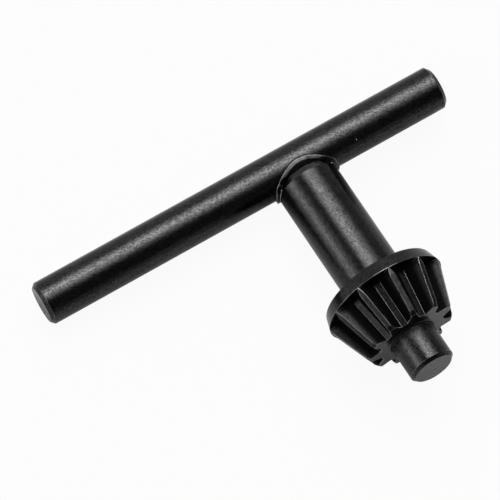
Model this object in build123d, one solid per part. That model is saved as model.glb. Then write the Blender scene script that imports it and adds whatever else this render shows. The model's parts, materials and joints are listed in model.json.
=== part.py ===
from build123d import *
from math import asin, atan2, cos, degrees, hypot, radians, sin
import os

# Drill chuck key: a bevel pinion with a round shank, welded square onto a round cross bar.
# Everything is drawn in millimetres with the bar along X and the shank along Z, the two
# axes crossing at the origin. The finished key is then laid down as it rests on a bench.

# Cross bar
bar_diameter = 7.7
long_arm = 48.9
short_arm = 27.8
bar_end_chamfer = 0.6

# Shank and the end of it that was pressed against the bar
shank_diameter = 11.0
shank_end = 3.3
shank_end_chamfer_radial = 0.65
shank_end_chamfer_axial = 1.15

# Rim behind the teeth, measured from the bar's axis
rim_back = 26.7
rim_back_diameter = 20.1
rim_width = 2.35
rim_diameter = 21.5
rim_back_edge_radius = 0.4
shank_root_bevel = 0.5

# Bevel teeth
tooth_count = 11
tooth_phase = 101.95 - 180 / tooth_count
tooth_length = 8.3
toe_bevel_length = 0.65
toe_bevel_depth = 0.5
land_width = 0.85
land_tip_width = 0.2
land_tip_length = 1.2
land_crown = 0.125
land_toe_diameter = 16.4
heel_fillet = 1.15
root_heel_diameter = 16.5
root_toe_diameter = 12.1
root_strip_width = 1.1
# How far the gap's cut runs on, below the root and, as a share of its flank, past the land
gap_run_below = 0.5
gap_run_past = 0.4

# Pilot
pilot_diameter = 8.0
pilot_length = 6.8
pilot_end_chamfer = 0.6
pilot_root_bevel = 0.25

# Weld flash squeezed out between shank and bar
flash_crest = 0.75
flash_flare = 0.8
flash_overhang = 0.6
flash_thickness = 0.55
flash_lip_width = 0.7
flash_web_thickness = 0.2

# Radii and stations that follow from the sizes above
bar_radius = bar_diameter / 2
shank_radius = shank_diameter / 2
rim_back_radius = rim_back_diameter / 2
rim_radius = rim_diameter / 2
pilot_radius = pilot_diameter / 2
root_heel_radius = root_heel_diameter / 2
root_toe_radius = root_toe_diameter / 2
land_toe_radius = land_toe_diameter / 2
rim_front = rim_back + rim_width
land_shoulder = rim_front + land_tip_length
toe_face = rim_front + tooth_length
land_toe = toe_face - toe_bevel_length
pilot_tip = toe_face + pilot_length
flash_skirt_radius = shank_radius + flash_overhang
# The fillet at the heel has to fit on the rim's front face
heel_curve = min(heel_fillet, rim_radius - root_heel_radius)


def profile_face(points):
    """A flat face in the XZ plane from (radius, height) points."""
    corners = [Vector(radius, 0, height) for radius, height in points]
    return make_face(Polyline(*corners, close=True))


def turned(points):
    """The solid that a lathe would leave: the outline spun round Z."""
    return revolve(profile_face(points), axis=Axis.Z)


def circles_at(solid, radius, height):
    """The solid's round edges of one radius at one height."""
    rings = solid.edges().filter_by(GeomType.CIRCLE)
    return [
        ring
        for ring in rings
        if abs(ring.radius - radius) < 1e-3 and abs(ring.center().Z - height) < 1e-3
    ]


def straight_line_between(start, end, height):
    """Radius at a height on the cone through two (radius, height) points."""
    share = (height - start[1]) / (end[1] - start[1])
    return start[0] + share * (end[0] - start[0])


def land_crown_radius():
    """Radius of the lands where they are full width, a little proud of the straight cone."""
    straight = straight_line_between((rim_radius, rim_front), (land_toe_radius, land_toe), land_shoulder)
    return straight + land_crown


def turned_core():
    """Shank, rim, root cone and pilot, turned as one bar of steel."""
    core = turned(
        [
            (0, shank_end),
            (shank_radius - shank_end_chamfer_radial, shank_end),
            (shank_radius, shank_end + shank_end_chamfer_axial),
            (shank_radius, rim_back),
            (rim_back_radius, rim_back),
            (rim_radius, rim_front),
            (root_heel_radius, rim_front),
            (root_toe_radius, toe_face),
            (pilot_radius, toe_face),
            (pilot_radius, pilot_tip - pilot_end_chamfer),
            (pilot_radius - pilot_end_chamfer, pilot_tip),
            (0, pilot_tip),
        ]
    )
    core = chamfer(circles_at(core, shank_radius, rim_back), shank_root_bevel)
    core = fillet(circles_at(core, rim_back_radius, rim_back), rim_back_edge_radius)
    core = fillet(circles_at(core, root_heel_radius, rim_front), heel_curve)
    return chamfer(circles_at(core, pilot_radius, toe_face), pilot_root_bevel)


def gap_section(height, land_radius, width):
    """Outline of one tooth gap at a height: a V that runs past the lands and below the root."""
    root_radius = straight_line_between(
        (root_heel_radius, rim_front), (root_toe_radius, toe_face), height
    )
    root_angle = asin(root_strip_width / 2 / root_radius)
    land_angle = radians(180 / tooth_count) - width / 2 / land_radius
    foot = Vector(root_radius * cos(root_angle), root_radius * sin(root_angle))
    shoulder = Vector(land_radius * cos(land_angle), land_radius * sin(land_angle))
    below = foot - Vector(gap_run_below, 0)
    above = shoulder + (shoulder - foot) * gap_run_past
    half = [below, foot, above]
    corners = [Vector(point.X, -point.Y, height) for point in half]
    corners += [Vector(point.X, point.Y, height) for point in reversed(half)]
    return make_face(Polyline(*corners, close=True))


def tooth_gap():
    """One gap: its lands run to a point at the rim, and it passes right through the toe."""
    past_toe = toe_face + toe_bevel_length
    shoulder_radius = land_crown_radius()
    toe_radius = straight_line_between(
        (shoulder_radius, land_shoulder), (land_toe_radius, land_toe), past_toe
    )
    sections = [
        gap_section(rim_front, rim_radius, land_tip_width),
        gap_section(land_shoulder, shoulder_radius, land_width),
        gap_section(past_toe, toe_radius, land_width),
    ]
    return loft(sections, ruled=True)


def teeth():
    """The bevel blank with its gaps cut away, which leaves the tapering teeth."""
    blank = turned(
        [
            (0, rim_front),
            (rim_radius, rim_front),
            (land_crown_radius(), land_shoulder),
            (land_toe_radius, land_toe),
            (land_toe_radius - toe_bevel_depth, toe_face),
            (0, toe_face),
        ]
    )
    gap = tooth_gap()
    pitch = 360 / tooth_count
    gaps = [Rot(0, 0, tooth_phase + pitch * (index + 0.5)) * gap for index in range(tooth_count)]
    return blank - gaps


def along_bar(radius):
    """A rod on the bar's axis that reaches well past the weld on both sides."""
    return Rot(0, 90, 0) * Cylinder(radius, 2 * (flash_skirt_radius + shank_diameter))


def flash_cone(inset, bottom):
    """The flare that bounds the weld flash, narrowed by an inset and cut off at a height."""
    crest_radius = bar_radius - inset
    skirt_radius = flash_skirt_radius - inset
    skirt = flash_crest + (skirt_radius - crest_radius) / flash_flare
    flare = turned(
        [
            (0, flash_crest),
            (crest_radius, flash_crest),
            (skirt_radius, skirt),
            (skirt_radius, skirt + flash_skirt_radius),
            (0, skirt + flash_skirt_radius),
        ]
    )
    return split(flare, bisect_by=Plane.XY.offset(bottom), keep=Keep.BOTTOM)


def weld_flash():
    """Thin web over the bar's round, with the curled lip that stands up at its edge."""
    valley_floor = shank_end + shank_end_chamfer_axial / 2
    web_surface = bar_radius + flash_web_thickness
    lip_surface = bar_radius + flash_thickness
    whole = flash_cone(0, lip_surface)
    valley = flash_cone(flash_lip_width, valley_floor) - along_bar(web_surface)
    return (along_bar(lip_surface) & whole) - valley


def key_body():
    """Pinion, shank and weld flash in one, with the saddle that the bar lies in."""
    return turned_core() + teeth() + weld_flash() - along_bar(bar_radius)


def handle_bar():
    """The round bar, chamfered at both ends."""
    length = long_arm + short_arm
    rod = Cylinder(bar_radius, length)
    rod = chamfer(rod.edges().filter_by(GeomType.CIRCLE), bar_end_chamfer)
    return Pos((short_arm - long_arm) / 2, 0, 0) * Rot(0, 90, 0) * rod


def laid_down(piece):
    """The piece turned from the drawing position into the resting one.

    The shank is thicker than the bar, so the key lies on the shank's shoulder and on the
    rim, and rolls about the shank until the end of the long arm touches the bench too.
    """
    shoulder = shank_end + shank_end_chamfer_axial
    pitch = atan2(rim_radius - shank_radius, rim_front - shoulder)
    bar_height = shank_radius * cos(pitch) - shoulder * sin(pitch)
    arm = long_arm - bar_end_chamfer
    droop = asin(bar_height / hypot(arm, bar_radius)) - atan2(bar_radius, arm)
    roll = asin(sin(droop) / cos(pitch))
    return Rot(90 - degrees(pitch), 0, 0) * Rot(0, 0, degrees(roll)) * piece


pieces = {"handle_bar": laid_down(handle_bar()), "key_body": laid_down(key_body())}
box = pieces["handle_bar"].bounding_box().add(pieces["key_body"].bounding_box())
base = Vector(box.center().X, box.center().Y, box.min.Z)

os.makedirs("parts", exist_ok=True)
for name, piece in pieces.items():
    export_step(Pos(-base) * piece, f"parts/{name}.step")
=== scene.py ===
import json
from math import cos, pi, radians, sin

import bmesh
import bpy
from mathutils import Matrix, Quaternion, Vector


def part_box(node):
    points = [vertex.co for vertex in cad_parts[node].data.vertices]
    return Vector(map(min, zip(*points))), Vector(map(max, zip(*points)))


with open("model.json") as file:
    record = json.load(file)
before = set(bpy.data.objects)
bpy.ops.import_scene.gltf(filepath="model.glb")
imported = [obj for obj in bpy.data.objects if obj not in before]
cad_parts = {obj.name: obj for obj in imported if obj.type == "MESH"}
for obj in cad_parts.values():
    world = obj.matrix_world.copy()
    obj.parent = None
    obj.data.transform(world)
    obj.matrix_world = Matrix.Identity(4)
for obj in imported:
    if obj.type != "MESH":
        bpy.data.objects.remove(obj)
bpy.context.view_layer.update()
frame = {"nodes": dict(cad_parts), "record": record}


# Cross bar
# A length of round drawn steel, chamfered at both ends and blackened with the rest of the
# key. It was laid across the shank's end and resistance-welded to it.
millimetre = 0.001


class Shade:
    """A node's output that can be used in a Python sum: each sum adds its Math node."""

    def __init__(self, finish, socket):
        self.finish = finish
        self.socket = socket

    def maths(self, operation, first, second=0.0):
        return self.finish.node("ShaderNodeMath", {"operation": operation}, {0: first, 1: second})

    def __add__(self, other):
        return self.maths("ADD", self, other)

    def __radd__(self, other):
        return self.maths("ADD", other, self)

    def __sub__(self, other):
        return self.maths("SUBTRACT", self, other)

    def __rsub__(self, other):
        return self.maths("SUBTRACT", other, self)

    def __mul__(self, other):
        return self.maths("MULTIPLY", self, other)

    def size(self):
        return self.maths("ABSOLUTE", self)

    def eased(self, start, end):
        """0 up to start and 1 from end on, with a soft step between; it falls if end is less."""
        sockets = {"Value": self, "From Min": start, "From Max": end}
        return self.finish.node("ShaderNodeMapRange", {"interpolation_type": "SMOOTHSTEP"}, sockets)


class Finish:
    """A material or a sky under construction, with one way to add any node to it."""

    def __init__(self, owner):
        self.owner = owner
        self.owner.use_nodes = True
        self.tree = owner.node_tree
        self.tree.nodes.clear()

    def node(self, kind, settings, sockets, output=0):
        made = self.tree.nodes.new(kind)
        for setting, value in settings.items():
            setattr(made, setting, value)
        for name, value in sockets.items():
            if isinstance(value, Shade):
                self.tree.links.new(value.socket, made.inputs[name])
            else:
                made.inputs[name].default_value = value
        return Shade(self, made.outputs[output]) if made.outputs else made

    def vector(self, operation, first, second=(0.0, 0.0, 0.0), output="Vector"):
        return self.node("ShaderNodeVectorMath", {"operation": operation}, {0: first, 1: second}, output)

    def scaled(self, direction, factor):
        sockets = {0: direction, "Scale": factor}
        return self.node("ShaderNodeVectorMath", {"operation": "SCALE"}, sockets)

    def noise(self, place, per_metre, detail=2.0):
        sockets = {"Vector": place, "Scale": per_metre, "Detail": detail}
        return self.node("ShaderNodeTexNoise", {}, sockets)

    def mixed(self, share, first, second):
        sockets = {"Factor": share, 6: first, 7: second}
        return self.node("ShaderNodeMix", {"data_type": "RGBA"}, sockets, output=2)


class RoundStock(Finish):
    """Blackened steel that was drawn or turned about an axis, which its marks follow."""

    def __init__(self, name, centre, axis):
        super().__init__(bpy.data.materials.new(name))
        self.place = self.node("ShaderNodeTexCoord", {}, {}, output="Object")
        self.facing = self.node("ShaderNodeTexCoord", {}, {}, output="Normal")
        from_centre = self.vector("SUBTRACT", self.place, centre)
        self.along = self.vector("DOT_PRODUCT", from_centre, axis, output="Value")
        self.spoke = self.vector("SUBTRACT", from_centre, self.scaled(axis, self.along))
        self.radius = self.vector("LENGTH", self.spoke, output="Value")
        self.endward = self.vector("DOT_PRODUCT", self.facing, axis, output="Value")
        self.end_face = self.endward.size().eased(0.8, 0.95)
        self.find_edges()
        self.find_grain()

    def find_edges(self):
        """Normals that round off each sharp edge, and a share that is 1 on the edge itself."""
        edge_radius = 0.14 * millimetre
        self.rounded = self.node("ShaderNodeBevel", {"samples": 8}, {"Radius": edge_radius})
        smooth = self.node("ShaderNodeNewGeometry", {}, {}, output="Normal")
        agreement = self.vector("DOT_PRODUCT", self.rounded, smooth, output="Value")
        self.edge = agreement.eased(0.995, 0.90)

    def find_grain(self):
        """The sandy crystals of the black oxide, and its blotches of two sizes."""
        grains_per_metre = 6400.0
        crystals_per_metre = 7000.0
        blotches_per_metre = 1100.0
        clouds_per_metre = 160.0
        self.grain = self.noise(self.place, grains_per_metre, 1.0)
        cells = {"Vector": self.place, "Scale": crystals_per_metre}
        crystals = self.node("ShaderNodeTexVoronoi", {}, cells, output="Color")
        self.sparkle = crystals.eased(0.2, 0.8)
        self.mottle = self.noise(self.place, blotches_per_metre, 3.0)
        self.cloud = self.noise(self.place, clouds_per_metre, 4.0)

    def recess(self):
        """1 in a deep corner, which is told by how little can be seen from it; used there for painted
        shade.
        """
        reach = 3.0 * millimetre
        sight = self.node("ShaderNodeAmbientOcclusion", {"samples": 8}, {"Distance": reach}, output="AO")
        return sight.eased(0.6, 0.3)

    def speck(self, centre, size):
        """1 within a small round spot, such as a grain of scale that has come off."""
        return self.vector("DISTANCE", self.place, centre, output="Value").eased(size, size * 0.6)

    def tool_lines(self, distance):
        """The fine uneven lines that a lathe tool leaves as it moves along a distance."""
        lines_per_metre = 2600.0
        sockets = {"W": distance, "Scale": lines_per_metre, "Detail": 2.0}
        return self.node("ShaderNodeTexNoise", {"noise_dimensions": "1D"}, sockets)

    def greyed(self, share, tone, grey):
        """The tone, mixed with a plain grey by a share."""
        return self.mixed(share, tone, (grey, grey, grey, 1.0))

    def blackened(self, darkest, lightest):
        """Tone of the oxide, which lies between two greys from crystal to crystal."""
        share = self.cloud * 0.15 + self.sparkle * 0.85
        return self.greyed(share, (darkest, darkest, darkest, 1.0), lightest)

    def oiled(self):
        """Roughness of the oiled oxide, a little higher on the lighter crystals."""
        return 0.11 + self.cloud * 0.02 + self.sparkle * 0.10

    def faced_end(self):
        """Height of the rings on an end face and of the small pit that its centre drill left."""
        pit = self.end_face * self.radius.eased(0.4 * millimetre, 0.2 * millimetre)
        return self.end_face * self.tool_lines(self.radius) * 0.5 - pit * 4.0

    def finished(self, tone, roughness, relief, painted_shade):
        """The material: metal with its relief, mixed by the last share with a matt black that stands for
        painted shade.
        """
        relief_depth = 0.018 * millimetre
        bumped = {"Strength": 1.0, "Distance": relief_depth, "Height": relief, "Normal": self.rounded}
        steel = {
            "Base Color": tone,
            "Metallic": 1.0,
            "Roughness": roughness,
            "Normal": self.node("ShaderNodeBump", {}, bumped),
        }
        bare = self.node("ShaderNodeBsdfPrincipled", {}, steel)
        # A near black matt layer, put where there is only shade: painted shade
        black = {"Base Color": (0.003, 0.003, 0.003, 1.0), "Roughness": 0.8, "Specular IOR Level": 0.0}
        painted_shade_black = self.node("ShaderNodeBsdfPrincipled", {}, black)
        shader = self.node("ShaderNodeMixShader", {}, {0: painted_shade, 1: bare, 2: painted_shade_black})
        self.node("ShaderNodeOutputMaterial", {}, {"Surface": shader})
        return self.owner


def end_middle(node, low, high):
    """Middle of the vertices of a node whose X lies in a range."""
    corners = [corner.co for corner in node.data.vertices if low <= corner.co.x <= high]
    return Vector([(min(side) + max(side)) / 2 for side in zip(*corners)])


bar = frame["nodes"]["handle_bar"]
bar_low, bar_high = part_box("handle_bar")
bar_left = end_middle(bar, bar_low.x, bar_low.x + millimetre)
bar_right = end_middle(bar, bar_high.x - millimetre, bar_high.x)
bar_axis = (bar_right - bar_left).normalized()

drawn = RoundStock("blackened_drawn_steel", bar_left, bar_axis)

# The die's lines are noise that is stretched a good thirty times along the bar
die_lines_per_metre = 3000.0
stretched_place = drawn.vector("ADD", drawn.spoke, drawn.scaled(bar_axis, drawn.along * 0.03))
die_lines = drawn.noise(stretched_place, die_lines_per_metre)

# One grain of scale has come off the bar's top
bar_speck = drawn.speck(Vector((21.02, 17.94, 7.82)) * millimetre, 0.13 * millimetre)

bar_tone = drawn.blackened(0.011, 0.068)
bar_tone = drawn.greyed(drawn.end_face * 0.15, bar_tone, 0.1)
bar_tone = drawn.greyed(drawn.edge * drawn.mottle.eased(0.35, 0.6), bar_tone, 0.5)
bar_tone = drawn.greyed(bar_speck, bar_tone, 0.7)
bar_roughness = drawn.oiled() + drawn.end_face * 0.08 + bar_speck * 0.5
bar_relief = drawn.grain * 0.7 + die_lines * 0.3 + drawn.faced_end()
# Painted shade: the bar's deep corners, where it meets the key's flash, are darkened with the matt black
bar_painted_shade = drawn.recess() * 0.5
bar.data.materials[0] = drawn.finished(bar_tone, bar_roughness, bar_relief, bar_painted_shade)


# Key body
# Shank, rim, bevel teeth and pilot, turned and cut from one bar of steel and blackened.
# Its far end is dished to the bar's round by the weld, which left a curled lip of flash.
pilot = frame["record"]["mounts"][0]
pilot_middle = Vector(pilot["pos_m"])
key_axis = Vector(pilot["axis"])
key = frame["nodes"]["key_body"]

turned = RoundStock("blackened_turned_steel", pilot_middle, key_axis)
unit_spoke = turned.vector("NORMALIZE", turned.spoke)
outward = turned.vector("DOT_PRODUCT", turned.facing, unit_spoke, output="Value")

# Places along the axis are counted from the pilot's middle, with its tip on the plus side
rim_front = -11.525 * millimetre
hub_face = -3.225 * millimetre
flash_foot = -37.7 * millimetre

# Painted shade: the gaps between the teeth are darkened with the matt black, most of all low on the
# flanks and against the rim
root_heel_radius = 8.25 * millimetre
root_slope = 0.265
tooth_height = 2.3 * millimetre
past_rim = turned.along.eased(rim_front - 0.08 * millimetre, rim_front - 0.02 * millimetre)
before_hub = turned.along.eased(hub_face - 0.05 * millimetre, hub_face - 0.3 * millimetre)
flank = past_rim * before_hub * outward.eased(0.85, 0.7)
root_radius = root_heel_radius - (turned.along - rim_front) * root_slope
above_root = (turned.radius - root_radius) * (1 / tooth_height)
heel_wall = turned.endward.eased(0.3, 0.8)
gap_painted_shade = flank * (0.35 + above_root.eased(0.95, 0.5) * 0.63 + heel_wall * 0.4)

# The flash is darkened with the matt black too, as painted shade in its crease against the bar, but its
# lip stands clear of the bar and is rubbed bright
lip_inner_radius = 4.02 * millimetre
lip_outer_radius = 4.15 * millimetre
flash = turned.along.eased(flash_foot, flash_foot - 0.3 * millimetre)
beside_bar = turned.vector("CROSS_PRODUCT", turned.vector("SUBTRACT", turned.place, bar_left), bar_axis)
off_bar = turned.vector("LENGTH", beside_bar, output="Value")
lip = flash * off_bar.eased(lip_inner_radius, lip_outer_radius)
flash_speck = turned.speck(Vector((5.67, 17.34, 7.92)) * millimetre, 0.22 * millimetre)

# A dark line of painted shade runs round the pilot's root, in its corner with the hub face, and the pilot
# is duller towards it
line_start = turned.along.eased(hub_face - 0.025 * millimetre, hub_face + 0.075 * millimetre)
line_end = turned.along.eased(hub_face + 0.375 * millimetre, hub_face + 0.225 * millimetre)
root_painted_shade = line_start * line_end * turned.radius.eased(4.5 * millimetre, 4.35 * millimetre)
pilot_root = turned.along.eased(1.5 * millimetre, -2.6 * millimetre)
pilot_root = pilot_root * turned.radius.eased(4.6 * millimetre, 4.3 * millimetre)
pilot_root = pilot_root * turned.along.eased(hub_face - 0.375 * millimetre, hub_face - 0.075 * millimetre)

key_tone = turned.blackened(0.015, 0.061)
key_tone = turned.greyed(lip * turned.mottle.eased(0.2, 0.6), key_tone, 0.24)
key_tone = turned.greyed(turned.end_face * 0.35, key_tone, 0.1)
key_tone = turned.greyed(turned.edge * turned.mottle.eased(0.25, 0.5), key_tone, 0.5)
key_tone = turned.greyed(flash_speck, key_tone, 0.8)
key_roughness = turned.oiled() + turned.end_face * 0.04 + flank * 0.2 + lip * 0.35 + pilot_root * 0.18
key_relief = turned.grain * 0.8 + turned.tool_lines(turned.along) * 0.2 + turned.faced_end()
# All the key's painted shade: the line at the pilot's root, the flash against the bar and the tooth gaps
key_painted_shade = root_painted_shade * 0.8 + (flash - lip) * 0.7 + gap_painted_shade
key.data.materials[0] = turned.finished(key_tone, key_roughness, key_relief, key_painted_shade)


# Table
# A plain white table top that runs out of sight, with no mark on it. The camera sees it
# nearly as bright as a light box, while the key mirrors the dull white of its paint.
table_half_width = 4.0
floor_mesh = bmesh.new()
bmesh.ops.create_grid(floor_mesh, x_segments=1, y_segments=1, size=table_half_width)
floor_data = bpy.data.meshes.new("floor")
floor_mesh.to_mesh(floor_data)
floor_mesh.free()
floor = bpy.data.objects.new("floor", floor_data)
bpy.context.scene.collection.objects.link(floor)

white = Finish(bpy.data.materials.new("white_table"))
paint = white.node("ShaderNodeBsdfDiffuse", {}, {"Color": (0.65, 0.65, 0.65, 1.0)})
glow = white.node("ShaderNodeEmission", {}, {"Color": (1.0, 1.0, 1.0, 1.0), "Strength": 1.0})
seen = white.node("ShaderNodeLightPath", {}, {}, output="Is Camera Ray")
mirrored = white.node("ShaderNodeLightPath", {}, {}, output="Is Glossy Ray")
lit_share = seen * 0.94 + mirrored * 0.1
table_shader = white.node("ShaderNodeMixShader", {}, {0: lit_share, 1: paint, 2: glow})
white.node("ShaderNodeOutputMaterial", {}, {"Surface": table_shader})
floor_data.materials.append(white.owner)


# Light
# A dim grey room with brighter walls, most so at the left and the back, and a window high up
# behind with a curtain drawn over its left part. Two soft patches and two weak softboxes
# fill in from the left and from behind.

def compass(azimuth, elevation):
    """Unit vector towards a compass direction: azimuth 0 is the front, 90 the right."""
    level = cos(radians(elevation))
    return Vector(
        (sin(radians(azimuth)) * level, -cos(radians(azimuth)) * level, sin(radians(elevation)))
    )


sky = Finish(bpy.data.worlds.new("studio"))
bpy.context.scene.world = sky.owner
outlook = sky.node("ShaderNodeTexCoord", {}, {}, output="Generated")
height = sky.node("ShaderNodeSeparateXYZ", {}, {"Vector": outlook}, output="Z")


def nearness(azimuth, elevation):
    """Cosine of the angle between a point of the sky and a compass direction."""
    return sky.vector("DOT_PRODUCT", outlook, compass(azimuth, elevation), output="Value")


def lit_patch(azimuth, elevation, power, radiance):
    """A soft round patch of light in the sky; the larger the power, the smaller the patch."""
    near = nearness(azimuth, elevation)
    return near.maths("POWER", near.maths("MAXIMUM", near, 0.0), power) * radiance


room = 0.09
left_and_back = nearness(-140, 0).eased(-0.6, 0.6)
walls = height.eased(0.40, 0.34) * (0.22 + left_and_back * 0.34)
curtain = nearness(115, 0).eased(-0.05, 0.15)
window = lit_patch(160, 62, 11.0, 6.0) * curtain
low_patch = lit_patch(-120, 20, 24.0, 2.1)
high_patch = lit_patch(-97, 46, 12.0, 0.9)
brightness = room + walls + window + low_patch + high_patch
daylight = {"Color": (1.0, 1.0, 1.0, 1.0), "Strength": brightness}
background = sky.node("ShaderNodeBackground", {}, daylight)
sky.node("ShaderNodeOutputWorld", {}, {"Surface": background})


def softbox(name, azimuth, elevation, width, height, radiance):
    """An area lamp a metre off, aimed at the key, whose radiance is seen in reflections."""
    lamp = bpy.data.lights.new(name, "AREA")
    lamp.shape = "RECTANGLE"
    lamp.size = width
    lamp.size_y = height
    lamp.energy = radiance * width * height * pi
    direction = compass(azimuth, elevation)
    stand = bpy.data.objects.new(name, lamp)
    stand.location = direction
    stand.rotation_mode = "QUATERNION"
    stand.rotation_quaternion = direction.to_track_quat("Z", "Y")
    bpy.context.scene.collection.objects.link(stand)


softbox("back_softbox", 165, 60, 0.28, 0.24, 1.6)
softbox("left_softbox", -120, 20, 0.2, 0.24, 1.0)


# Camera
# It looks down on the key from the left and the front, about two thirds of a metre away.
camera_target = Vector((-4.29, 10.14, 8.0)) * millimetre
camera_distance = 662.0 * millimetre
camera_roll = radians(13.35)
camera_data = bpy.data.cameras.new("camera")
camera_data.sensor_width = 36.0
camera_data.lens = 288.0
backwards = compass(-43.34, 73.85)
camera = bpy.data.objects.new("camera", camera_data)
camera.location = camera_target + backwards * camera_distance
camera.rotation_mode = "QUATERNION"
camera.rotation_quaternion = backwards.to_track_quat("Z", "Y") @ Quaternion((0, 0, 1), camera_roll)
bpy.context.scene.collection.objects.link(camera)
bpy.context.scene.camera = camera
bpy.context.scene.view_settings.view_transform = "Standard"
